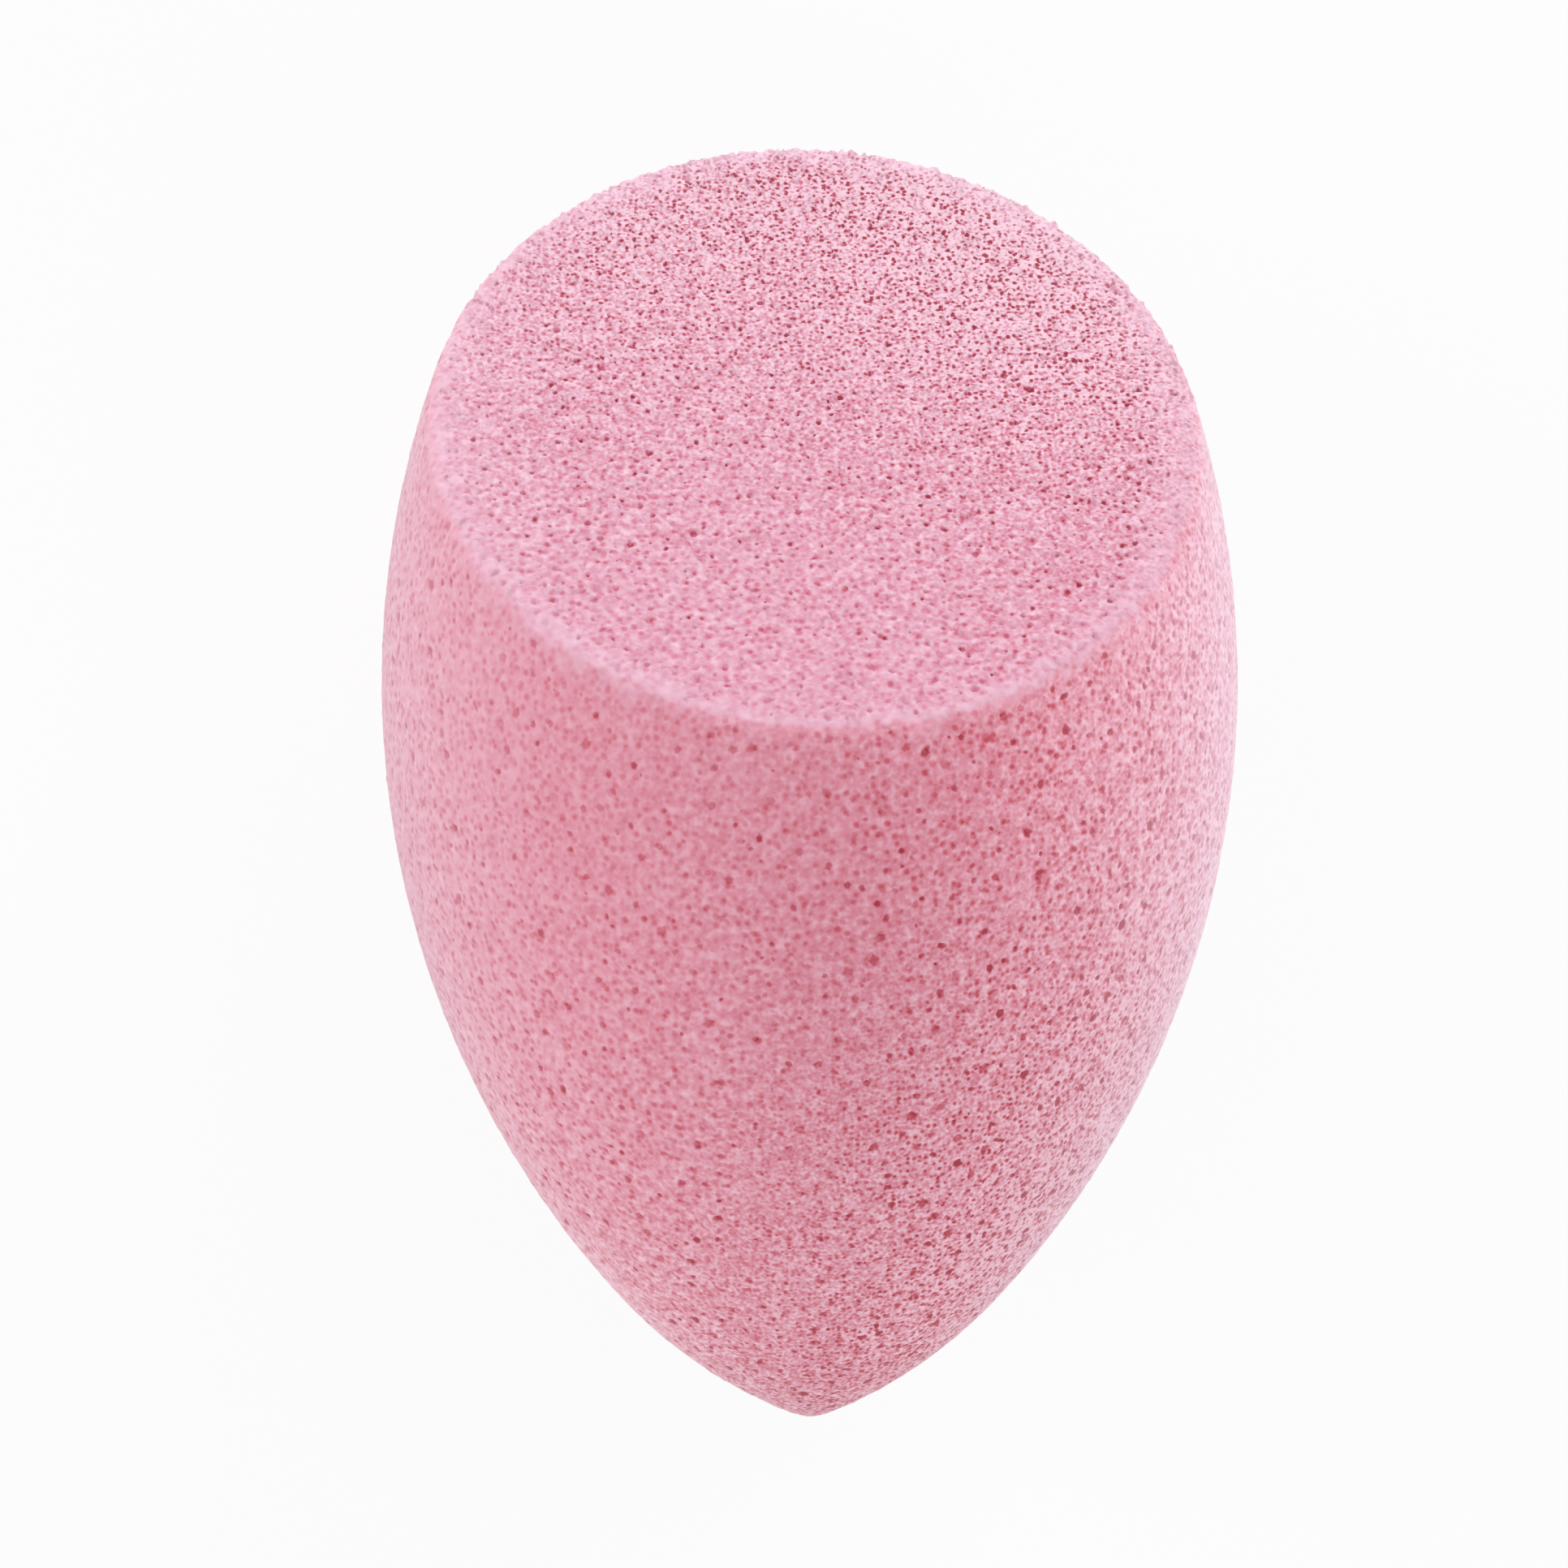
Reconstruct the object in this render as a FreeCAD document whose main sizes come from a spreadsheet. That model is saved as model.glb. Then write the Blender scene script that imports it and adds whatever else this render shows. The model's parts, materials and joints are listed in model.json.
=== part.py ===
import FreeCAD, Part
import math
import os
import Sketcher

# Teardrop makeup sponge: one piece of soft foam with one slanted flat.
# The sponge is drawn upright, with its long axis on Z, its tip point at the origin
# and the flat looking up and to the front, -Y.
# It is then laid on its round back, as it comes to rest on a table: the flat looks up,
# the tip points to -Y, the table top is Z = 0 and the origin lies under the centre of mass.

# Driving dimensions in millimetres, angles in degrees
SIZES = {
    # widest round of the body
    "belt_diameter": 41.0,
    # from the tip point up to the belt
    "belt_height": 36.2,
    # arc of the lower body, between the tip and the flank
    "nose_radius": 24.8,
    # slope of the lower body where it reaches the tip point, from square to the axis
    "tip_slope": 21.9,
    # rounding of the tip point
    "tip_radius": 2.0,
    # from the belt up to the top of the teardrop before the flat is cut
    "crown_height": 36.0,
    # round top of the teardrop before the flat is cut
    "crown_radius": 8.0,
    # where the flat crosses the long axis, from the tip point
    "cut_height": 51.75,
    # tilt of the flat from square to the axis
    "cut_angle": 33.9,
    # soft edge all round the flat
    "rim_radius": 0.9,
    # how far the foam gives way where it lies on the table
    "settle_depth": 0.5,
}

# How a sketch numbers the ends and the centre of a line or arc, and its own origin and upright axis
START, END, CENTRE = range(1, 4)
AXIS, ORIGIN = range(-2, 0)

# How far a point may lie from the flat and still belong to its rim
ON_PLANE = 0.001

NODE = "foam_body"


def make_sheet(doc):
    """The spreadsheet that holds the driving dimensions."""
    sheet = doc.addObject("Spreadsheet::Sheet", "dims")
    for row, (name, value) in enumerate(SIZES.items(), start=1):
        sheet.set("A%d" % row, name)
        sheet.set("B%d" % row, str(value))
        sheet.setAlias("B%d" % row, name)
    doc.recompute()
    return sheet


def point(radius, height):
    """A point of the sketch plane."""
    return FreeCAD.Vector(radius, height, 0)


def arc(centre, radius, first, last):
    """An arc of a sketch, anticlockwise from one angle to another."""
    circle = Part.Circle(centre, FreeCAD.Vector(0, 0, 1), radius)
    return Part.ArcOfCircle(circle, first, last)


def bearing(start, end):
    """The angle of the way from one point to another."""
    return math.atan2(end.y - start.y, end.x - start.x)


def add_sketch(body, name):
    """A sketch in the sponge's plane of symmetry: across it is Y, up it is Z."""
    sketch = body.newObject("Sketcher::SketchObject", name)
    plane = next(item for item in body.Origin.OriginFeatures if item.Role == "YZ_Plane")
    sketch.AttachmentSupport = [(plane, "")]
    sketch.MapMode = "FlatFace"
    return sketch


def bind(sketch, name, size, *constraint):
    """Adds a dimension to a sketch and ties it to the spreadsheet."""
    index = sketch.addConstraint(Sketcher.Constraint(*constraint))
    sketch.renameConstraint(index, name)
    sketch.setExpression("Constraints." + name, size)


def draw_profile(body, sheet):
    """Half outline of the uncut teardrop: tip, nose, flank, shoulder and crown arcs and the axis."""
    belt = point(sheet.belt_diameter / 2, sheet.belt_height)
    slope = math.radians(sheet.tip_slope)
    nose_radius = sheet.nose_radius
    nose = point(-nose_radius * math.sin(slope), nose_radius * math.cos(slope))
    tip_radius = sheet.tip_radius
    tip_height = nose.y - math.sqrt((nose_radius - tip_radius) ** 2 - nose.x ** 2)
    tip = point(0, tip_height)
    # the flank leaves the belt upright and runs into the nose
    across = belt.x - nose.x
    along = belt.y - nose.y
    flank_radius = (across ** 2 + along ** 2 - nose_radius ** 2) / (2 * (across - nose_radius))
    flank = point(belt.x - flank_radius, belt.y)
    # the shoulder leaves the belt upright and runs into the crown
    crown_radius = sheet.crown_radius
    rise = sheet.crown_height - crown_radius
    crown = point(0, belt.y + rise)
    shoulder_radius = (belt.x ** 2 + rise ** 2 - crown_radius ** 2) / (2 * (belt.x - crown_radius))
    shoulder = point(belt.x - shoulder_radius, belt.y)

    sketch = add_sketch(body, "teardrop_profile")
    low = -math.pi / 2
    high = math.pi / 2
    tip_arc = sketch.addGeometry(arc(tip, tip_radius, low, bearing(nose, tip)))
    nose_arc = sketch.addGeometry(arc(nose, nose_radius, bearing(nose, tip), bearing(flank, nose)))
    flank_arc = sketch.addGeometry(arc(flank, flank_radius, bearing(flank, nose), 0))
    shoulder_arc = sketch.addGeometry(arc(shoulder, shoulder_radius, 0, bearing(shoulder, crown)))
    crown_arc = sketch.addGeometry(arc(crown, crown_radius, bearing(shoulder, crown), high))
    top = point(0, crown.y + crown_radius)
    bottom = point(0, tip.y - tip_radius)
    axis_line = sketch.addGeometry(Part.LineSegment(top, bottom))

    chain = [tip_arc, nose_arc, flank_arc, shoulder_arc, crown_arc]
    for lower, upper in zip(chain, chain[1:]):
        sketch.addConstraint(Sketcher.Constraint("Tangent", lower, END, upper, START))
    sketch.addConstraint(Sketcher.Constraint("PointOnObject", tip_arc, CENTRE, AXIS))
    sketch.addConstraint(Sketcher.Constraint("PointOnObject", tip_arc, START, AXIS))
    sketch.addConstraint(Sketcher.Constraint("PointOnObject", ORIGIN, START, nose_arc))
    sketch.addConstraint(Sketcher.Constraint("Horizontal", flank_arc, CENTRE, flank_arc, END))
    sketch.addConstraint(Sketcher.Constraint("PointOnObject", crown_arc, CENTRE, AXIS))
    sketch.addConstraint(Sketcher.Constraint("PointOnObject", crown_arc, END, AXIS))
    sketch.addConstraint(Sketcher.Constraint("Coincident", axis_line, START, crown_arc, END))
    sketch.addConstraint(Sketcher.Constraint("Coincident", axis_line, END, tip_arc, START))

    bind(sketch, "belt_radius", "dims.belt_diameter / 2", "DistanceX", ORIGIN, START, flank_arc, END, belt.x)
    bind(sketch, "belt_height", "dims.belt_height", "DistanceY", ORIGIN, START, flank_arc, END, belt.y)
    bind(sketch, "nose_radius", "dims.nose_radius", "Radius", nose_arc, nose_radius)
    nose_offset = "dims.nose_radius * sin(dims.tip_slope * 1 deg)"
    bind(sketch, "nose_offset", nose_offset, "DistanceX", nose_arc, CENTRE, ORIGIN, START, -nose.x)
    bind(sketch, "tip_radius", "dims.tip_radius", "Radius", tip_arc, tip_radius)
    bind(sketch, "crown_radius", "dims.crown_radius", "Radius", crown_arc, crown_radius)
    rise_to_top = ("DistanceY", flank_arc, END, crown_arc, END, sheet.crown_height)
    bind(sketch, "crown_height", "dims.crown_height", *rise_to_top)
    return sketch


def draw_cut(body, sheet):
    """Rectangle above the flat: its lower side lies along the flat and its middle on the axis."""
    angle = math.radians(sheet.cut_angle)
    half_side = sheet.belt_diameter
    height = sheet.belt_height + sheet.crown_height
    along = point(math.cos(angle), math.sin(angle))
    away = point(-math.sin(angle), math.cos(angle))
    middle = point(0, sheet.cut_height)
    front = middle - along * half_side
    back = middle + along * half_side
    corners = [front, back, back + away * height, front + away * height]

    sketch = add_sketch(body, "flat_profile")
    sides = []
    for index, corner in enumerate(corners):
        following = corners[(index + 1) % len(corners)]
        sides.append(sketch.addGeometry(Part.LineSegment(corner, following)))
    for index, side in enumerate(sides):
        following = sides[(index + 1) % len(sides)]
        sketch.addConstraint(Sketcher.Constraint("Coincident", side, END, following, START))
    for side, following in zip(sides, sides[1:]):
        sketch.addConstraint(Sketcher.Constraint("Perpendicular", side, following))
    crossing = sketch.addGeometry(Part.Point(middle), True)
    sketch.addConstraint(Sketcher.Constraint("PointOnObject", crossing, START, AXIS))
    sketch.addConstraint(Sketcher.Constraint("Symmetric", sides[0], START, sides[0], END, crossing, START))

    bind(sketch, "cut_height", "dims.cut_height", "DistanceY", ORIGIN, START, crossing, START, middle.y)
    bind(sketch, "cut_angle", "dims.cut_angle * 1 deg", "Angle", sides[0], angle)
    bind(sketch, "cut_width", "2 * dims.belt_diameter", "Distance", sides[0], 2 * half_side)
    bind(sketch, "cut_depth", "dims.belt_height + dims.crown_height", "Distance", sides[1], height)
    return sketch


def rim_edges(shape, sheet):
    """Names of the edges that lie all along in the plane of the flat."""
    angle = math.radians(sheet.cut_angle)
    crossing = FreeCAD.Vector(0, 0, sheet.cut_height)
    outward = FreeCAD.Vector(0, -math.sin(angle), math.cos(angle))
    names = []
    for number, edge in enumerate(shape.Edges, start=1):
        # the tip closes the round faces in an edge of no length
        if edge.Degenerated:
            continue
        places = edge.discretize(7)
        if all(abs((place - crossing).dot(outward)) < ON_PLANE for place in places):
            names.append("Edge%d" % number)
    return names


def make_upright_sponge(doc, sheet):
    """The sponge as it is made: a turned teardrop, one slanted slice off it, and a soft rim."""
    body = doc.addObject("PartDesign::Body", "upright_sponge")

    profile = draw_profile(body, sheet)
    teardrop = body.newObject("PartDesign::Revolution", "teardrop")
    teardrop.Profile = profile
    teardrop.ReferenceAxis = (profile, ["V_Axis"])
    teardrop.Angle = 360
    doc.recompute()

    slice_profile = draw_cut(body, sheet)
    flat = body.newObject("PartDesign::Pocket", "slanted_flat")
    flat.Profile = slice_profile
    flat.SideType = "Symmetric"
    flat.Type = "Length"
    flat.setExpression("Length", "2 * dims.belt_diameter")
    doc.recompute()
    if flat.Shape.Volume >= teardrop.Shape.Volume:
        raise RuntimeError("the slanted flat cuts nothing off the teardrop")

    rim = body.newObject("PartDesign::Fillet", "soft_rim")
    rim.Base = (flat, rim_edges(flat.Shape, sheet))
    rim.setExpression("Radius", "dims.rim_radius")
    doc.recompute()
    return body, profile


def lay_down(body, profile, sheet):
    """Lays the sponge on its back, where the centre of mass is lowest, with that point on the axis Z."""
    # the sponge is alike to the left and right, so its centre of mass lies in the plane of symmetry
    centre = body.Shape.CenterOfGravity
    centre.x = 0
    back = Part.Wire([edge for edge in profile.Shape.Edges if edge.Curve.TypeId == "Part::GeomCircle"])
    distance, places, details = Part.Vertex(centre).distToShape(back)
    contact = places[0][1]
    turn = FreeCAD.Rotation(contact - centre, FreeCAD.Vector(0, 0, -1))
    sunk = FreeCAD.Vector(0, 0, -sheet.settle_depth)
    body.Placement = FreeCAD.Placement(sunk - turn.multVec(contact), turn)


def make_table(doc):
    """The space below the table top, which the foam can't enter."""
    table = doc.addObject("Part::Box", "table")
    table.setExpression("Length", "2 * dims.belt_diameter")
    table.setExpression("Width", "2 * (dims.belt_height + dims.crown_height)")
    table.setExpression("Height", "dims.belt_diameter")
    table.setExpression("Placement.Base.x", "-dims.belt_diameter")
    table.setExpression("Placement.Base.y", "-(dims.belt_height + dims.crown_height)")
    table.setExpression("Placement.Base.z", "-dims.belt_diameter")
    return table


def check(doc, sponge):
    """Stops if anything in the document failed or the sponge isn't one sound solid."""
    for item in doc.Objects:
        if "Invalid" in item.State or "Error" in item.State:
            raise RuntimeError("%s failed: %s" % (item.Name, item.State))
    shape = sponge.Shape
    if shape.isNull() or not shape.isValid() or len(shape.Solids) != 1:
        raise RuntimeError("%s is not one valid solid" % sponge.Label)


def main():
    doc = FreeCAD.newDocument("makeup_sponge")
    sheet = make_sheet(doc)
    upright, profile = make_upright_sponge(doc, sheet)
    lay_down(upright, profile, sheet)

    sponge = doc.addObject("Part::Cut", NODE)
    sponge.Label = NODE
    sponge.Base = upright
    sponge.Tool = make_table(doc)
    doc.recompute()
    check(doc, sponge)
    if sponge.Shape.Volume >= upright.Shape.Volume:
        raise RuntimeError("the sponge doesn't reach the table")

    os.makedirs("parts", exist_ok=True)
    sponge.Shape.exportStep("parts/%s.step" % sponge.Label)
    box = sponge.Shape.BoundBox
    print("%s: volume %.0f mm3, box %.2f x %.2f x %.2f mm" % (
        sponge.Label, sponge.Shape.Volume, box.XLength, box.YLength, box.ZLength))


main()
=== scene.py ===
import json
import math

import bpy
import numpy as np
from mathutils import Matrix, Vector
from mathutils.geometry import delaunay_2d_cdt
from mathutils.kdtree import KDTree


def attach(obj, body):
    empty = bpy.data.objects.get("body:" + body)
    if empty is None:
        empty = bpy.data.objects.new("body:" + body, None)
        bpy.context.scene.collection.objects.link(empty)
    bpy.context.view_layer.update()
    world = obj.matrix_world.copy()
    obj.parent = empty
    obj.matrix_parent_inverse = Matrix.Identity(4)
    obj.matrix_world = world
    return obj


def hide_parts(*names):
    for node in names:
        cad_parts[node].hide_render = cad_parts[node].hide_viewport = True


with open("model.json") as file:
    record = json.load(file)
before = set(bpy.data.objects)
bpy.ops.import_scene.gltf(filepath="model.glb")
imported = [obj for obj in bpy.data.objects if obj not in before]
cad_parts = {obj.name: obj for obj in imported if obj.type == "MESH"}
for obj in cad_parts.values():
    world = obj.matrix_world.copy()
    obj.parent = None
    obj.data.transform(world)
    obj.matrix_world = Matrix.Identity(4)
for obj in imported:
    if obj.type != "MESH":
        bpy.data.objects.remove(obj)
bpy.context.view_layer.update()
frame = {"record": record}

# Form of the sponge, as its solid has it: millimetres and radians, upright,
# with the tip point at the origin and the flat looking up and to the front, -Y
BELT_RADIUS = 20.5
BELT_HEIGHT = 36.2
NOSE_RADIUS = 24.8
TIP_SLOPE = math.radians(21.9)
TIP_RADIUS = 2.0
CROWN_HEIGHT = 36.0
CROWN_RADIUS = 8.0
CUT_HEIGHT = 51.75
CUT_ANGLE = math.radians(33.9)
SETTLE_DEPTH = 0.5
# width over which the body and the flat melt into the soft rim, at its front and at its back
RIM_BLEND = (0.55, 1.05)
MM = 0.001

# A point well inside the foam, from which every part of the surface can be seen
HEART = np.array([0.0, 0.0, 33.0])
# where rays from inside start, outside the foam, and the steps that bring them to its surface
OUTSIDE = 45.0
MARCH_STEPS = 30
# distance over which slopes are taken
NUDGE = 0.001
GOLDEN_ANGLE = math.pi * (3 - math.sqrt(5))

rng = np.random.default_rng(41)


def blend(pair, share):
    """From the first of the pair to the second, as the share goes from 0 to 1."""
    return pair[0] + (pair[1] - pair[0]) * share


def change(values, amount, start, end):
    """0 up to the start, the amount from the end on, and a straight line in between."""
    return amount * np.clip((values - start) / (end - start), 0, 1)


def unit(vectors):
    """The vectors at length 1."""
    return vectors / np.linalg.norm(vectors, axis=1)[:, None]


def profile_arcs():
    """Centres (radius, height) and radii of the profile's arcs, from the tip to the crown."""
    nose = np.array([-NOSE_RADIUS * math.sin(TIP_SLOPE), NOSE_RADIUS * math.cos(TIP_SLOPE)])
    tip_height = nose[1] - math.sqrt((NOSE_RADIUS - TIP_RADIUS) ** 2 - nose[0] ** 2)
    tip = np.array([0.0, tip_height])
    across = BELT_RADIUS - nose[0]
    along = BELT_HEIGHT - nose[1]
    flank_radius = (across ** 2 + along ** 2 - NOSE_RADIUS ** 2) / (2 * (across - NOSE_RADIUS))
    flank = np.array([BELT_RADIUS - flank_radius, BELT_HEIGHT])
    climb = CROWN_HEIGHT - CROWN_RADIUS
    crown = np.array([0.0, BELT_HEIGHT + climb])
    squares = BELT_RADIUS ** 2 + climb ** 2 - CROWN_RADIUS ** 2
    shoulder_radius = squares / (2 * (BELT_RADIUS - CROWN_RADIUS))
    shoulder = np.array([BELT_RADIUS - shoulder_radius, BELT_HEIGHT])
    centres = np.array([tip, nose, flank, shoulder, crown])
    radii = np.array([TIP_RADIUS, NOSE_RADIUS, flank_radius, shoulder_radius, CROWN_RADIUS])
    # the way from each arc's centre to the point where the next arc takes over
    joints = np.array([tip - nose, nose - flank, [1.0, 0.0], crown - shoulder])
    joints /= np.linalg.norm(joints, axis=1)[:, None]
    return centres, radii, joints


ARC_CENTRES, ARC_RADII, ARC_JOINTS = profile_arcs()
# place of the flank among the arcs
FLANK = 2
FLAT_NORMAL = np.array([0.0, -math.sin(CUT_ANGLE), math.cos(CUT_ANGLE)])
FLAT_POINT = np.array([0.0, 0.0, CUT_HEIGHT])


def body_distance(points):
    """Signed distance from the uncut teardrop."""
    places = np.stack([np.hypot(points[:, 0], points[:, 1]), points[:, 2]], axis=1)
    arc = np.zeros(len(points), int)
    for centre, joint in zip(ARC_CENTRES, ARC_JOINTS):
        away = places - centre
        arc += joint[0] * away[:, 1] - joint[1] * away[:, 0] > 0
    return np.linalg.norm(places - ARC_CENTRES[arc], axis=1) - ARC_RADII[arc]


def flat_distance(points):
    """Signed distance from the plane of the slanted flat."""
    return (points - FLAT_POINT) @ FLAT_NORMAL


def far_back(points):
    """0 at the front of the sponge, 1 at its back."""
    return np.clip(0.5 + 0.5 * points[:, 1] / BELT_RADIUS, 0, 1)


def form_distance(points):
    """About the signed distance from the cut teardrop with its soft rim."""
    body = body_distance(points)
    flat = flat_distance(points)
    width = blend(RIM_BLEND, far_back(points))
    share = np.clip(0.5 + 0.5 * (body - flat) / width, 0, 1)
    return body * share + flat * (1 - share) + width * share * (1 - share)


def surface(directions):
    """Where rays from the heart leave the form."""
    reach = np.full(len(directions), OUTSIDE)
    for _ in range(MARCH_STEPS):
        reach -= form_distance(HEART + directions * reach[:, None])
    return HEART + directions * reach[:, None]


def normals_at(points):
    """Outward normals of the form."""
    steps = np.eye(3) * NUDGE
    slopes = [form_distance(points + step) - form_distance(points - step) for step in steps]
    return unit(np.stack(slopes, axis=1))


def past_edge(points):
    """How far places on the surface lie from the rim's edge: above 0 on the flat, below 0 on the body."""
    return flat_distance(points) - body_distance(points)


def flat_share(points):
    """1 on the flat, 0 on the body, and in between on the rim."""
    return np.clip(0.5 + 0.5 * past_edge(points) / RIM_BLEND[0], 0, 1)


# Pores: about how far apart they lie, their radius, how much that varies, how deep they are and how
# rough the foam between them is, first on the skin of the body, then on the cut flat
PORE_SPACING = (0.64, 0.34)
PORE_RADIUS = (0.25, 0.125)
PORE_SPREAD = (0.35, 0.30)
PORE_DEPTH = (0.45, 0.9)
ROUGHNESS = (0.012, 0.04)
PORE_LEAST = 0.07
PORE_MOST = 0.38
# how much of the cut's fineness its pores have, at its front edge and at its far end
CUT_FINENESS = (0.15, 1.25)
# share of its spacing that a pore strays from an even pattern
STRAY = 0.3
# how much longer than wide a pore can be
LONGEST = 1.45
# points round a pore, how much they stray, and the room that the pore needs for them
PORE_SIDES = 5
UNEVEN = 0.15
PORE_ROOM = 1.42
# area that one of many evenly spread places takes, as a share of its spacing's square
EVEN_AREA = math.sqrt(3) / 2
# points on the outline that areas are summed along, and a radius that holds the whole flat
OUTLINE_POINTS = 2000
FLAT_REACH = 1.5 * BELT_RADIUS
# rows of points along the rim: how far each lies from the edge, how far apart its points are,
# and the room that they need
RIM_ROWS = (-0.3, 0.0, 0.3)
RIM_SPACING = 0.28
RIM_CLEAR = 0.35
# how ragged the far rim is, and over what width
RAGGED = 0.055
RAGGED_WIDTH = 0.6


def spread_on_body(spacing):
    """Places all over the body, on a golden spiral that gives each the same area."""
    angles = np.linspace(-math.pi / 2, math.pi / 2, OUTLINE_POINTS)
    rays = np.stack([np.cos(angles), np.zeros(len(angles)), np.sin(angles)], axis=1)
    belt = np.array([0.0, 0.0, BELT_HEIGHT])
    reach = np.full(len(angles), OUTSIDE)
    for _ in range(MARCH_STEPS):
        reach -= body_distance(belt + rays * reach[:, None])
    outline = belt + rays * reach[:, None]
    steps = np.linalg.norm(np.diff(outline, axis=0), axis=1)
    rings = math.pi * (outline[1:, 0] + outline[:-1, 0]) * steps
    areas = np.concatenate([[0.0], np.cumsum(rings)])
    count = int(areas[-1] / (EVEN_AREA * spacing ** 2))
    numbers = np.arange(count)
    share = (numbers + 0.5) / count * areas[-1]
    radius = np.interp(share, areas, outline[:, 0])
    height = np.interp(share, areas, outline[:, 2])
    turn = numbers * GOLDEN_ANGLE
    places = np.stack([radius * np.cos(turn), radius * np.sin(turn), height], axis=1)
    return places[flat_distance(places) < 0]


def on_flat(out, turn):
    """Places on the flat, so far out from the axis and in such a direction."""
    across = np.array([1.0, 0.0, 0.0])
    along = np.cross(FLAT_NORMAL, across)
    return FLAT_POINT + across * (out * np.cos(turn))[:, None] + along * (out * np.sin(turn))[:, None]


def spread_on_flat(spacing):
    """Places all over the flat, on a golden spiral round the axis."""
    numbers = np.arange(int(math.pi * FLAT_REACH ** 2 / (EVEN_AREA * spacing ** 2)))
    out = FLAT_REACH * np.sqrt((numbers + 0.5) / len(numbers))
    places = on_flat(out, numbers * GOLDEN_ANGLE)
    return places[body_distance(places) < 0]


def rim_points():
    """Rows of places along the rim, from the body's side of the edge to the flat's."""
    turn = np.arange(0, 2 * math.pi, RIM_SPACING / BELT_RADIUS)
    near = np.zeros(len(turn))
    far = np.full(len(turn), OUTSIDE)
    for _ in range(MARCH_STEPS):
        middle = (near + far) / 2
        inside = body_distance(on_flat(middle, turn)) < 0
        near = np.where(inside, middle, near)
        far = np.where(inside, far, middle)
    rows = []
    for index, offset in enumerate(RIM_ROWS):
        shifted = turn + (index % 2) * 0.5 * RIM_SPACING / BELT_RADIUS
        edge = np.interp(shifted, turn, near, period=2 * math.pi)
        place = on_flat(edge - max(offset, 0), shifted)
        rows.append(place + FLAT_NORMAL * min(offset, 0))
    return np.concatenate(rows)


def apart(places, rooms):
    """Which places keep clear of those before them."""
    tree = KDTree(len(places))
    for index, place in enumerate(places):
        tree.insert(place, index)
    tree.balance()
    kept = np.ones(len(places), bool)
    for index, place in enumerate(places):
        if not kept[index]:
            continue
        for _, other, distance in tree.find_range(place, rooms[index] + rooms.max()):
            if other > index and distance < rooms[index] + rooms[other]:
                kept[other] = False
    return kept


def tangents(normals):
    """Two directions square to each normal and to each other."""
    # X helps to find them, and Y does where the normal is close to X
    helper = np.where(np.abs(normals[:, :1]) < 0.7, [[1.0, 0.0, 0.0]], [[0.0, 1.0, 0.0]])
    first = unit(np.cross(normals, helper))
    return first, np.cross(normals, first)


def scatter_pores():
    """Middles and radii of the pores, on the skin and on the flat."""
    spots = []
    for spread, spacing in zip((spread_on_body, spread_on_flat), PORE_SPACING):
        places = spread(spacing)
        spots.append(places + rng.normal(size=places.shape) * STRAY * spacing)
    middles = np.concatenate(spots)
    middles = surface(unit(middles - HEART))
    # the cut's pores are about as large as the skin's at its front edge, and finest at its far end
    share = flat_share(middles) * np.clip(blend(CUT_FINENESS, far_back(middles)), 0, 1)
    varied = np.exp(blend(PORE_SPREAD, share) * rng.normal(size=len(middles)))
    radii = np.clip(blend(PORE_RADIUS, share) * varied, PORE_LEAST, PORE_MOST)
    clear = np.abs(past_edge(middles)) > RIM_CLEAR
    kept = clear & apart(middles, radii * PORE_ROOM)
    return middles[kept], radii[kept]


def pore_rings(middles, radii):
    """Points round each pore, on an uneven oval, one row for each side."""
    first, second = tangents(normals_at(middles))
    length = rng.uniform(1, LONGEST, len(middles)) ** 0.5
    lie = rng.uniform(0, 2 * math.pi, len(middles))
    rings = []
    for side in range(PORE_SIDES):
        angle = 2 * math.pi * (side + rng.uniform(-UNEVEN, UNEVEN, len(middles))) / PORE_SIDES
        out = radii * rng.uniform(1 - UNEVEN, 1 + UNEVEN, len(middles))
        along = out * length * np.cos(angle)
        across = out / length * np.sin(angle)
        east = along * np.cos(lie) - across * np.sin(lie)
        north = along * np.sin(lie) + across * np.cos(lie)
        rings.append(middles + first * east[:, None] + second * north[:, None])
    return rings


def ring_edges(count):
    """Edges round the pores, whose middles come first and then their sides, row by row."""
    edges = []
    for side in range(PORE_SIDES):
        following = (side + 1) % PORE_SIDES
        edges += [(count * (side + 1) + i, count * (following + 1) + i) for i in range(count)]
    return edges


# What the triangulation keeps, which is the whole hull, and how close it merges points
WHOLE_HULL = 0
MERGE = 1e-7


def triangles(directions, edges):
    """Closed triangulation of directions, the last of which is the pole that the others are seen from."""
    pole = directions[-1]
    first = unit(np.cross(pole[None], [[1.0, 0.0, 0.0]]))[0]
    second = np.cross(pole, first)
    others = directions[:-1]
    flat = np.stack([others @ first, others @ second], axis=1) / (1 - others @ pole)[:, None]
    result = delaunay_2d_cdt([Vector(place) for place in flat], edges, [], WHOLE_HULL, MERGE, True)
    names = [origin[0] for origin in result[3]]
    faces = [[names[corner] for corner in face] for face in result[2]]
    sides = {(face[i], face[(i + 1) % 3]) for face in faces for i in range(3)}
    last = len(directions) - 1
    faces += [[b, a, last] for a, b in sides if (b, a) not in sides]
    return np.array(faces)


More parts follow.
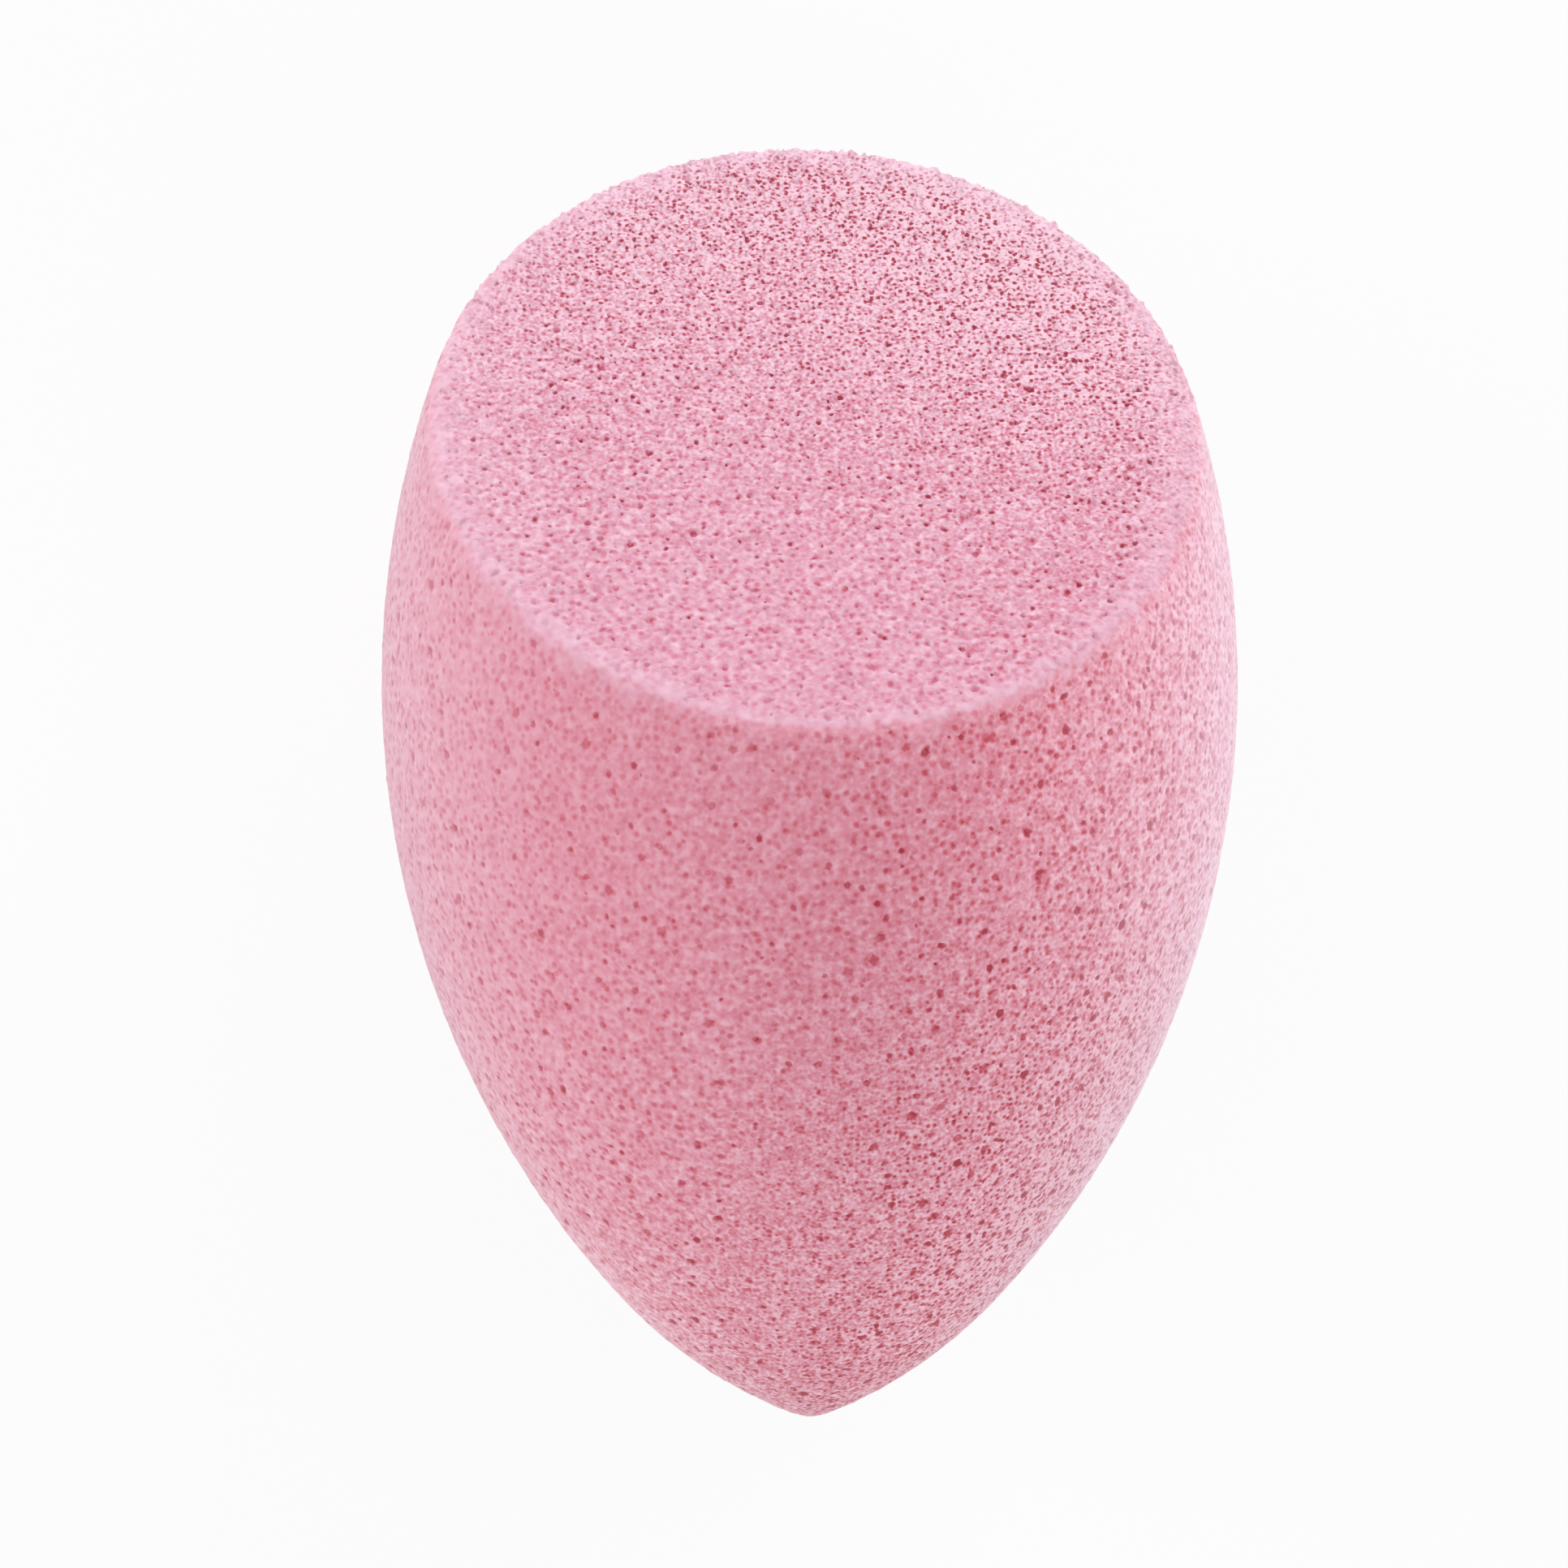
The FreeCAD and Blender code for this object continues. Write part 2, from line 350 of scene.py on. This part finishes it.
def lay_down():
    """Turn and shift, in millimetres, from the upright sponge to where the solid lies."""
    flat = next(mount for mount in frame["record"]["mounts"] if mount["name"] == "slanted_flat")
    lean = math.atan2(-flat["axis"][1], flat["axis"][2]) - CUT_ANGLE
    turn = np.array(Matrix.Rotation(lean, 3, "X"))
    flank = turn @ np.array([0.0, *ARC_CENTRES[FLANK]])
    down = ARC_RADII[FLANK] - SETTLE_DEPTH - flank[2]
    axis = np.array(flat["axis"])
    outward = axis @ (np.array(flat["pos_m"]) / MM) - axis @ (turn @ FLAT_POINT)
    return turn, np.array([0.0, (outward - axis[2] * down) / axis[1], down])


# How much of its half of the square each of the two maps fills
CHART_FILL = 0.94


def add_charts(mesh, faces, directions):
    """Two maps of the surface side by side, of the upper and the lower half."""
    upper = directions[faces].mean(axis=1)[:, 2] > 0
    corners = directions[faces]
    height = np.where(upper[:, None], corners[:, :, 2], -corners[:, :, 2])
    places = CHART_FILL * corners[:, :, :2] / np.sqrt(1 + height)[:, :, None]
    east = np.where(upper, 0.25, 0.75)[:, None] + 0.25 * places[:, :, 0]
    north = 0.5 + 0.5 * places[:, :, 1]
    chart = mesh.uv_layers.new(name="OFBake")
    chart.data.foreach_set("uv", np.stack([east, north], axis=2).ravel().astype(np.float32))


# How the foam's look changes over the sponge as it lies: X is to the right, -Y towards the tip, Z up.
# A change with three numbers has its amount and where it starts and ends, in millimetres unless its
# comment says otherwise.
# The texture is boldest low down and to the right, and calmer along the rim; its bolder contrast low down
# and to the right is painted light and shade: paler lit struts and shaded pits under light from the side.
# The cut takes part in the changes sideways by the shares given for it
BOLDEST = 1.4
BOLD_HIGH = (-0.9, 16.24, 41.44)
BOLD_RIGHT = (0.8, 0, 10)
BOLD_RIGHT_CUT = 0.375
BOLD_LEFT = (-0.3, 0, -12)
BOLD_LEFT_CUT = 0.2
BOLD_RIM = -0.4
# the grain calms down on both flanks, where the pores stand out more
CALM_LEFT = (0.4, -6, -14)
CALM_RIGHT = (0.3, 1, 8)
# the texture is finest low down, on the right and towards the tip, and it can be finer on the cut
FINEST = 2.15
FINE_FADE = 18.5
FINE_LEFT = (-1.2, 0, -20)
FINE_LEFT_CUT = 0.15
FINE_RIGHT = (0.2, 0, 8)
FINE_CUT = -0.25
FINE_MOST = (0.25, 1)
TIPWARD = (1, -6, -16)
TIPWARD_RIGHT = (1, -10, 0)
FINE_TIP = 0.3
FINE_MOST_TIP = 0.4


def add_grain(layers, laid, share):
    """How bold, how fine and how lively the texture is."""
    x, y, height = laid.T
    # bolder contrast low down and on the right: painted shade in the pores and painted light on the
    # struts
    bold = BOLDEST + change(height, *BOLD_HIGH)
    sideways = change(x, *BOLD_RIGHT) * blend((1, BOLD_RIGHT_CUT), share)
    sideways += change(x, *BOLD_LEFT) * blend((1, BOLD_LEFT_CUT), share)
    layers["bold"] = bold * (1 + sideways)
    tipward = change(y, *TIPWARD) * change(x, *TIPWARD_RIGHT)
    fine = FINEST - height / FINE_FADE + FINE_CUT * share + FINE_TIP * tipward
    fine += change(x, *FINE_LEFT) * blend((1, FINE_LEFT_CUT), share) + change(x, *FINE_RIGHT)
    layers["fine"] = np.clip(fine, 0, blend(FINE_MOST, share) + FINE_MOST_TIP * tipward)
    layers["lively"] = 1 - (change(x, *CALM_LEFT) + change(x, *CALM_RIGHT)) * (1 - share)


# Pits carry painted shade, darkest and deepest low down on the skin and at the far end of the cut
PIT_RANGE = (0.3, 1.1)
PIT_SKIN = 1.2
PIT_LOW = (1, 25, 0)
PIT_CUT = (0.9, 1.75)
# share of its full depth that a pit of darkness 0 has, and that a pit of darkness 1 has
PIT_DEPTH = (0.4, 0.8)
# light reaches into the cut's pits and pales them, from one share of the way back to another
PIT_LIT = (0.35, 0.4, 0.8)


def pit_darkness(laid, share, far):
    """Darkness of the painted shade in the pores, each by chance and by its place."""
    on_skin = PIT_SKIN + change(laid[:, 2], *PIT_LOW)
    deepest = on_skin * (1 - share) + blend(PIT_CUT, far) * share
    return rng.uniform(*PIT_RANGE, len(laid)) ** 2 * deepest


def add_pits(layers, darkness, share, far):
    """Which points are the bottoms of pores, and how dark the painted shade in the pores is."""
    count = len(darkness)
    layers["pore"] = np.zeros(len(share))
    layers["pore"][:count] = 1
    dark = np.zeros(len(share))
    dark[:count * (PORE_SIDES + 1)] = np.tile(darkness, PORE_SIDES + 1)
    layers["dark"] = dark * (1 - change(far, *PIT_LIT) * share)


# The foam between the pores is palest low down on the skin, though not at the tip, with painted
# highlights on its struts
LIP_LOW = (1.5, 35, 10)
LIP_OFF_TIP = (1, -33, -25)
# on the cut it is painted paler from the front to the back, and more so on the right, as painted light
LIP_CUT = (-0.5, 1)
LIP_CUT_LEAST = -0.3
LIP_CUT_RIGHT = (1.3, 0, 12)
LIP_CUT_AMOUNT = 0.8
# the skin carries painted shade, deepest in colour at the tip and in a patch in the middle, just below
# the rim:
# where the patch lies, how far it reaches to the left, to the right and along, and how it rises with the
# rim
SHADE_TIP = (0.65, -24, -29)
SHADE_PATCH = 0.7
SHADE_X = 2
SHADE_Y = -3
SHADE_LEFT = 7
SHADE_RIGHT = 9
SHADE_ALONG = 7
SHADE_RISE = (9, 0, 12)


def add_lips(layers, laid, share, far, count):
    """How pale the foam between the pores is, with painted highlights and painted shade, where the first
    points are the pores' own.
    """
    x, y, height = laid.T
    # painted highlights on the struts low down, and painted light growing towards the back and right of
    # the cut
    low_highlights = change(height, *LIP_LOW) * change(y, *LIP_OFF_TIP) * (1 - share)
    on_cut = np.maximum(blend(LIP_CUT, far), LIP_CUT_LEAST) * (1 + change(x, *LIP_CUT_RIGHT))
    lip = np.zeros(len(laid))
    lip[count:] = rng.uniform(0, 1, len(laid) - count)
    lip[count:] *= 1 + low_highlights[count:]
    lip[count:] += LIP_CUT_AMOUNT * (share * on_cut)[count:]
    # painted shade in a patch just below the rim and towards the tip
    from_middle = x - SHADE_X
    sideways = from_middle / np.where(from_middle > 0, SHADE_RIGHT, SHADE_LEFT)
    along = (y - SHADE_Y - change(from_middle, *SHADE_RISE)) / SHADE_ALONG
    painted_shade = SHADE_PATCH * np.exp(-sideways ** 2 - along ** 2) + change(y, *SHADE_TIP)
    layers["lip"] = lip - painted_shade * (1 - share)


# The cut pales along its rim with a painted highlight, in a band that is wider at its far end and at both
# sides of the sponge. The band reaches over the edge on to the skin there
BESIDE = (1, 6, 15)
BAND_CUT = (0.4, 1.5)
BAND_CUT_BESIDE = 0.7
BAND_SKIN = 0.12
BAND_SKIN_BESIDE = 0.6
HIGHLIGHT_RIM = (1, 1.25)
HIGHLIGHT_RIM_BESIDE = 0.75
HIGHLIGHT_RANGE = (0.2, 1.1)
# both flanks pale too, with painted sheen, though not at the tip: the right one by how far its normal
# turns to the right, the left one by its place
PAINTED_SHEEN_RIGHT = (0.8, 0.39, 0.93)
PAINTED_SHEEN_RIGHT_OFF_TIP = (1, -31, -23)
PAINTED_SHEEN_LEFT = (0.55, -11, -19)
PAINTED_SHEEN_LEFT_OFF_TIP = (1, -34, -12)
PALE_CURVE = 1.5


def add_painted_light(layers, laid, turned, edge_distance, far):
    """How far the colour pales with a painted highlight along the rim and painted sheen on the flanks,
    and calmer texture along the rim.
    """
    x, y, _ = laid.T
    beside = change(np.abs(x), *BESIDE)
    on_cut = blend(BAND_CUT, far) + BAND_CUT_BESIDE * beside
    on_skin = BAND_SKIN + BAND_SKIN_BESIDE * beside
    rim = np.exp(-(edge_distance / np.where(edge_distance > 0, on_cut, on_skin)) ** 2)
    layers["bold"] *= 1 + BOLD_RIM * rim
    # painted highlight along the rim, in random strength
    strength = blend(HIGHLIGHT_RIM, far) * blend((1, HIGHLIGHT_RIM_BESIDE), beside)
    pale = rim * rng.uniform(*HIGHLIGHT_RANGE, len(laid)) * strength
    # painted sheen on both flanks, paler where the surface turns to the side
    right = change(turned, *PAINTED_SHEEN_RIGHT) * change(y, *PAINTED_SHEEN_RIGHT_OFF_TIP)
    left = change(x, *PAINTED_SHEEN_LEFT) * change(y, *PAINTED_SHEEN_LEFT_OFF_TIP)
    layers["pale"] = np.maximum(pale, np.maximum(right, left) ** PALE_CURVE)


# Where the colour goes over from the skin's to the cut's, from the rim's edge
CUT_COLOUR = (1, -0.1, 0.2)


def make_sponge():
    """The foam, one closed mesh whose pores are pits in it."""
    middles, radii = scatter_pores()
    count = len(middles)
    back = np.array([[0.0, BELT_RADIUS, BELT_HEIGHT]])
    points = np.concatenate([middles, *pore_rings(middles, radii), rim_points(), back])
    directions = unit(points - HEART)
    places = surface(directions)
    faces = triangles(directions, ring_edges(count))
    turn, shift = lay_down()
    laid = places @ turn.T + shift
    normals = normals_at(places)
    share = flat_share(places)
    far = far_back(places)
    edge_distance = past_edge(places)

    layers = {"cut": change(edge_distance, *CUT_COLOUR)}
    add_grain(layers, laid, share)
    darkness = pit_darkness(laid[:count], share[:count], far[:count])
    add_pits(layers, darkness, share, far)
    add_lips(layers, laid, share, far, count)
    ragged = RAGGED * far * np.exp(-(edge_distance / RAGGED_WIDTH) ** 2)
    sink = rng.normal(size=len(places)) * (blend(ROUGHNESS, share) + ragged)
    sink[:count] = radii * blend(PORE_DEPTH, share[:count]) * blend(PIT_DEPTH, darkness)
    laid -= normals @ turn.T * sink[:, None]
    laid[:, 2] = np.maximum(laid[:, 2], 0)
    add_painted_light(layers, laid, normals[:, 0], edge_distance, far)

    mesh = bpy.data.meshes.new("foam")
    mesh.from_pydata((laid * MM).tolist(), [], faces.tolist())
    mesh.shade_smooth()
    for name, values in layers.items():
        attribute = mesh.attributes.new(name, "FLOAT", "POINT")
        attribute.data.foreach_set("value", values.astype(np.float32))
    add_charts(mesh, faces, directions @ turn.T)
    sponge = bpy.data.objects.new("foam", mesh)
    bpy.context.scene.collection.objects.link(sponge)
    print("foam: %d points, %d faces, %d pores" % (len(laid), len(faces), count))
    return sponge


def add(tree, kind, inputs=None, **settings):
    """A node with its settings made and its inputs set or linked."""
    node = tree.nodes.new(kind)
    for name, value in settings.items():
        setattr(node, name, value)
    for name, value in (inputs or {}).items():
        if isinstance(value, bpy.types.NodeSocket):
            tree.links.new(value, node.inputs[name])
        else:
            node.inputs[name].default_value = value
    return node


def ramp(tree, factor, stops):
    """Colours between stops, each a position and a colour."""
    node = add(tree, "ShaderNodeValToRGB", {"Fac": factor})
    elements = node.color_ramp.elements
    while len(elements) < len(stops):
        elements.new(0.5)
    for element, (position, colour) in zip(elements, stops):
        element.position = position
        element.color = (*colour, 1)
    return node.outputs["Color"]


def layer(tree, name):
    """Values that the mesh holds under this name."""
    return add(tree, "ShaderNodeAttribute", attribute_name=name).outputs["Fac"]


def math_node(tree, operation, *values):
    """The result of one operation."""
    return add(tree, "ShaderNodeMath", dict(enumerate(values)), operation=operation).outputs[0]


def soft_steps(tree, value, start, end, first=0.0, last=1.0):
    """From the first value at the start to the last at the end, without kinks."""
    limits = {"Value": value, "From Min": start, "From Max": end, "To Min": first, "To Max": last}
    return add(tree, "ShaderNodeMapRange", limits, interpolation_type="SMOOTHSTEP").outputs[0]


def mix(tree, share, first, second):
    """A number between two others."""
    return add(tree, "ShaderNodeMix", {0: share, 2: first, 3: second}).outputs[0]


def mix_colours(tree, share, first, second):
    """A colour between two others."""
    node = add(tree, "ShaderNodeMix", {"Factor": share, 6: first, 7: second}, data_type="RGBA")
    return node.outputs["Result"]


# Spots too small for the mesh, painted shade in the smallest pores: bubbles to a metre, tone of the
# darkest spot, tone of the palest one as a share of that, and the distance from a bubble's middle where
# its spot starts to fade
COARSE_SPOTS = {"scale": 2200, "most": 0.5, "least": 0.5, "sharp": 0.15}
FINE_SPOTS = {"scale": 3300, "most": 0.88, "least": 0.25, "sharp": 0.2}
# distance where a spot ends, tone of its pale edge as a share of the darkest spot's, and how much the
# bubbles stray from an even pattern
SPOT_END = 0.5
SPOT_EDGE = -0.1
SPOT_STRAY = 0.8
# Grain of the struts: waves to a metre, and contrast
COARSE_GRAIN = {"scale": 2800, "contrast": 1.15}
FINE_GRAIN = {"scale": 5600, "contrast": 1.5}
# How far pits, with their painted shade, and pale foam move the tone from that of the smooth foam, and
# where pits start and end
FOAM_TONE = 0.355
PIT_SHADE_TONE = 0.43
LIP_TONE = -0.12
PIT_START = 0.05
PIT_END = 0.5
# Colours by tone, from pale struts to the painted shade of deep pits, on the skin of the body and on the
# flesh of the cut
SKIN_TONES = (
    (0.0, (0.935, 0.57, 0.67)),
    (0.35, (0.78, 0.303, 0.394)),
    (0.7, (0.645, 0.121, 0.172)),
    (1.0, (0.455, 0.052, 0.08)),
)
FLESH_TONES = (
    (0.0, (0.79, 0.53, 0.62)),
    (0.35, (0.66, 0.316, 0.42)),
    (0.7, (0.58, 0.146, 0.226)),
    (1.0, (0.335, 0.034, 0.054)),
)
# colours that they pale towards with the painted highlight along the rim and the painted sheen on the
# flanks, and how far
SKIN_PAINTED_LIGHT = (0.79, 0.59, 0.73, 1)
FLESH_PAINTED_LIGHT = (0.87, 0.62, 0.75, 1)
PAINTED_LIGHT_SHARE = 0.55
FOAM_FINISH = {
    "Roughness": 0.95,
    "Specular IOR Level": 0.15,
    "Sheen Weight": 0.5,
    "Sheen Tint": (0.94, 0.95, 1, 1),
    "Sheen Roughness": 0.45,
}
GRAIN_BUMP = {"Strength": 0.4, "Distance": 0.04 * MM}


def small_pores(tree, place, scale, most, least, sharp):
    """Round spots of painted shade where the surface cuts through bubbles in the foam, each of its own
    darkness.
    """
    cells = {"Vector": place, "Scale": scale, "Randomness": SPOT_STRAY}
    bubbles = add(tree, "ShaderNodeTexVoronoi", cells)
    spots = soft_steps(tree, bubbles.outputs["Distance"], sharp, SPOT_END, most, SPOT_EDGE * most)
    strength = add(tree, "ShaderNodeSeparateColor", {0: bubbles.outputs["Color"]}).outputs[0]
    strength = math_node(tree, "MULTIPLY_ADD", strength, 1 - least, least)
    return math_node(tree, "MULTIPLY", spots, strength)


def struts(tree, place, scale, contrast):
    """Grain of the foam's struts, below 0 where they are pale."""
    waves = {"Vector": place, "Scale": scale, "Detail": 1, "Roughness": 0.5}
    noise = add(tree, "ShaderNodeTexNoise", waves)
    return math_node(tree, "MULTIPLY_ADD", noise.outputs["Fac"], contrast, -0.5 * contrast)


def foam_material():
    """Matte pink foam, with the look that the mesh's layers give each place."""
    material = bpy.data.materials.new("pink_foam")
    material.use_nodes = True
    tree = material.node_tree
    shader = tree.nodes["Principled BSDF"]
    place = add(tree, "ShaderNodeTexCoord").outputs["Object"]
    fine = layer(tree, "fine")
    # soft coarse texture and sharp fine texture
    coarse_spots = small_pores(tree, place, **COARSE_SPOTS)
    spots = mix(tree, fine, coarse_spots, small_pores(tree, place, **FINE_SPOTS))
    coarse_grain = struts(tree, place, **COARSE_GRAIN)
    grain = mix(tree, fine, coarse_grain, struts(tree, place, **FINE_GRAIN))
    grain = math_node(tree, "MULTIPLY", grain, layer(tree, "lively"))
    # painted shade in the pits, as dark as each pit's darkness
    pits = soft_steps(tree, layer(tree, "pore"), PIT_START, PIT_END)
    pits = math_node(tree, "MULTIPLY", pits, layer(tree, "dark"))
    pits = math_node(tree, "MULTIPLY", pits, PIT_SHADE_TONE)
    # 0 on the smooth foam, below it on pale struts and above it in pits, whose darker tone is painted
    # shade
    depth = math_node(tree, "MULTIPLY_ADD", layer(tree, "lip"), LIP_TONE, pits)
    depth = math_node(tree, "ADD", depth, spots)
    depth = math_node(tree, "ADD", depth, grain)
    tone = math_node(tree, "MULTIPLY_ADD", depth, layer(tree, "bold"), FOAM_TONE)
    # painted highlight along the rim and painted sheen on the flanks, mixed into both colours
    painted_light = math_node(tree, "MULTIPLY", layer(tree, "pale"), PAINTED_LIGHT_SHARE)
    skin = mix_colours(tree, painted_light, ramp(tree, tone, SKIN_TONES), SKIN_PAINTED_LIGHT)
    flesh = mix_colours(tree, painted_light, ramp(tree, tone, FLESH_TONES), FLESH_PAINTED_LIGHT)
    colour = mix_colours(tree, layer(tree, "cut"), skin, flesh)
    tree.links.new(colour, shader.inputs["Base Color"])
    bump = add(tree, "ShaderNodeBump", {"Height": grain, **GRAIN_BUMP}, invert=True)
    tree.links.new(bump.outputs["Normal"], shader.inputs["Normal"])
    for name, value in FOAM_FINISH.items():
        shader.inputs[name].default_value = value
    return material


# Half the floor's side, in metres, and its colour
FLOOR_REACH = 3.0
FLOOR_COLOUR = (0.9, 0.9, 0.9, 1)
# share of plain white in what the camera sees of the floor, the rest being the floor with its shadow
FLOOR_WHITE = 0.9
WHITE = (1, 1, 1, 1)


def make_floor():
    """A white floor that keeps a faint shadow."""
    mesh = bpy.data.meshes.new("floor")
    corners = [(x * FLOOR_REACH, y * FLOOR_REACH, 0) for x, y in ((-1, -1), (1, -1), (1, 1), (-1, 1))]
    mesh.from_pydata(corners, [], [(0, 1, 2, 3)])
    floor = bpy.data.objects.new("floor", mesh)
    bpy.context.scene.collection.objects.link(floor)
    material = bpy.data.materials.new("white_floor")
    material.use_nodes = True
    tree = material.node_tree
    shader = tree.nodes["Principled BSDF"]
    shader.inputs["Base Color"].default_value = FLOOR_COLOUR
    shader.inputs["Roughness"].default_value = 1
    shader.inputs["Specular IOR Level"].default_value = 0
    glow = add(tree, "ShaderNodeEmission", {"Color": WHITE})
    path = add(tree, "ShaderNodeLightPath")
    seen = math_node(tree, "MULTIPLY", path.outputs["Is Camera Ray"], FLOOR_WHITE)
    both = add(tree, "ShaderNodeMixShader", {0: seen, 1: shader.outputs[0], 2: glow.outputs[0]})
    tree.links.new(both.outputs[0], tree.nodes["Material Output"].inputs["Surface"])
    mesh.materials.append(material)


# The photograph's camera, in millimetres from the sponge's axis
CAMERA_DISTANCE = 488.0
CAMERA_LENS = 233.0
CAMERA_SENSOR = 36.0
# height on the axis that it is aimed past, and how far past, to the left and up
AIM_HEIGHT = 29.3
AIM_LEFT = 1.23
AIM_UP = 2.07
# between the long axis and the way to the camera, and round the axis from the middle of the flat
CAMERA_LEAN = math.radians(79.3)
CAMERA_ROUND = math.radians(3.9)


def make_camera():
    """The camera, above the sponge as it lies."""
    turn, shift = lay_down()
    axis = turn @ np.array([0.0, 0.0, 1.0])
    front = turn @ np.array([0.0, -1.0, 0.0])
    side = np.array([1.0, 0.0, 0.0])
    facing = front * math.cos(CAMERA_ROUND) - side * math.sin(CAMERA_ROUND)
    right = front * math.sin(CAMERA_ROUND) + side * math.cos(CAMERA_ROUND)
    back = facing * math.sin(CAMERA_LEAN) + axis * math.cos(CAMERA_LEAN)
    up = axis * math.sin(CAMERA_LEAN) - facing * math.cos(CAMERA_LEAN)
    aim = shift + axis * AIM_HEIGHT - right * AIM_LEFT + up * AIM_UP
    camera_data = bpy.data.cameras.new("camera")
    camera_data.lens = CAMERA_LENS
    camera_data.sensor_width = CAMERA_SENSOR
    camera = bpy.data.objects.new("camera", camera_data)
    pose = Matrix((right, up, back)).transposed().to_4x4()
    pose.translation = (aim + back * CAMERA_DISTANCE) * MM
    camera.matrix_world = pose
    bpy.context.scene.collection.objects.link(camera)
    bpy.context.scene.camera = camera


# Soft lamps low down round the sponge: direction seen from above, in degrees from +X, and strength
LAMPS = {"right_lamp": (60, 0.72), "left_lamp": (160, 0.47), "tip_lamp": (300, 0.26)}
LAMP_HEIGHT = math.radians(8)
LAMP_SPREAD = math.radians(45)
# strength of the even light from all round, and of the plain white that the camera sees in its place
ROOM_LIGHT = 0.67
ROOM_SEEN = 1.0


def make_light():
    """Even light from all round, and the lamps."""
    world = bpy.data.worlds.new("studio")
    bpy.context.scene.world = world
    world.use_nodes = True
    tree = world.node_tree
    background = tree.nodes["Background"]
    background.inputs["Color"].default_value = WHITE
    seen = add(tree, "ShaderNodeLightPath").outputs["Is Camera Ray"]
    tree.links.new(mix(tree, seen, ROOM_LIGHT, ROOM_SEEN), background.inputs["Strength"])
    for name, (direction, strength) in LAMPS.items():
        lamp_data = bpy.data.lights.new(name, "SUN")
        lamp_data.angle = LAMP_SPREAD
        lamp_data.energy = math.pi * strength
        lamp = bpy.data.objects.new(name, lamp_data)
        around = math.radians(direction)
        level = math.cos(LAMP_HEIGHT)
        way = Vector((level * math.cos(around), level * math.sin(around), math.sin(LAMP_HEIGHT)))
        lamp.rotation_euler = way.to_track_quat("Z", "Y").to_euler()
        bpy.context.scene.collection.objects.link(lamp)


sponge = make_sponge()
sponge.data.materials.append(foam_material())
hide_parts("foam_body")
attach(sponge, "root")
make_floor()
make_camera()
make_light()
bpy.context.scene.view_settings.view_transform = "Standard"
